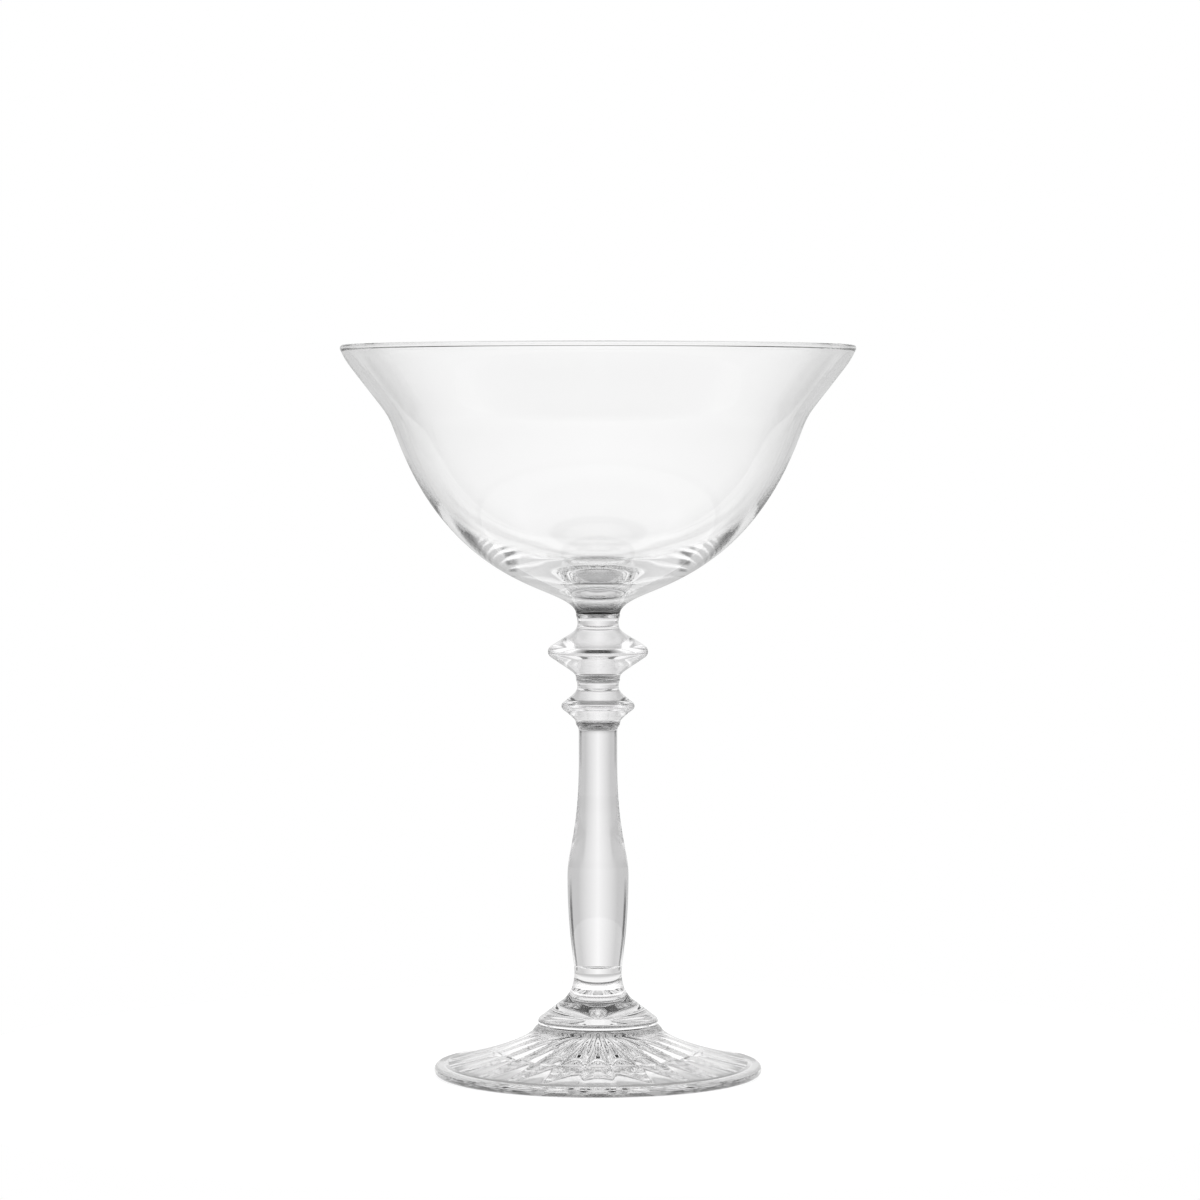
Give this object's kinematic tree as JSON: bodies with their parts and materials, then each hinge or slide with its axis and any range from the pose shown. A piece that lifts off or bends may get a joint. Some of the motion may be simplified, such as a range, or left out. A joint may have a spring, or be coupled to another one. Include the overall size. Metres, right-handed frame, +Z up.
{
  "type": "coupe glass",
  "caption": "Stemmed coupe glass with a thin flared bowl, a knopped baluster stem and a round pressed foot fluted underneath.",
  "frame": {"origin": "middle of the resting ring, on the table", "axes": "+Z up along the glass's axis of turning, X and Y level"},
  "size_m": [0.112, 0.112, 0.1589],
  "materials": {
    "bowl_glass": "clear, thin, fire-polished",
    "stem_glass": "clear, solid, fire-polished",
    "foot_glass": "clear, pressed, fluted underneath"
  },
  "bodies": {
    "root": {"foot": "foot_glass", "stem_shaft": "stem_glass", "lower_knop": "stem_glass", "upper_knop": "stem_glass", "bowl": "bowl_glass"}
  },
  "joints": []
}
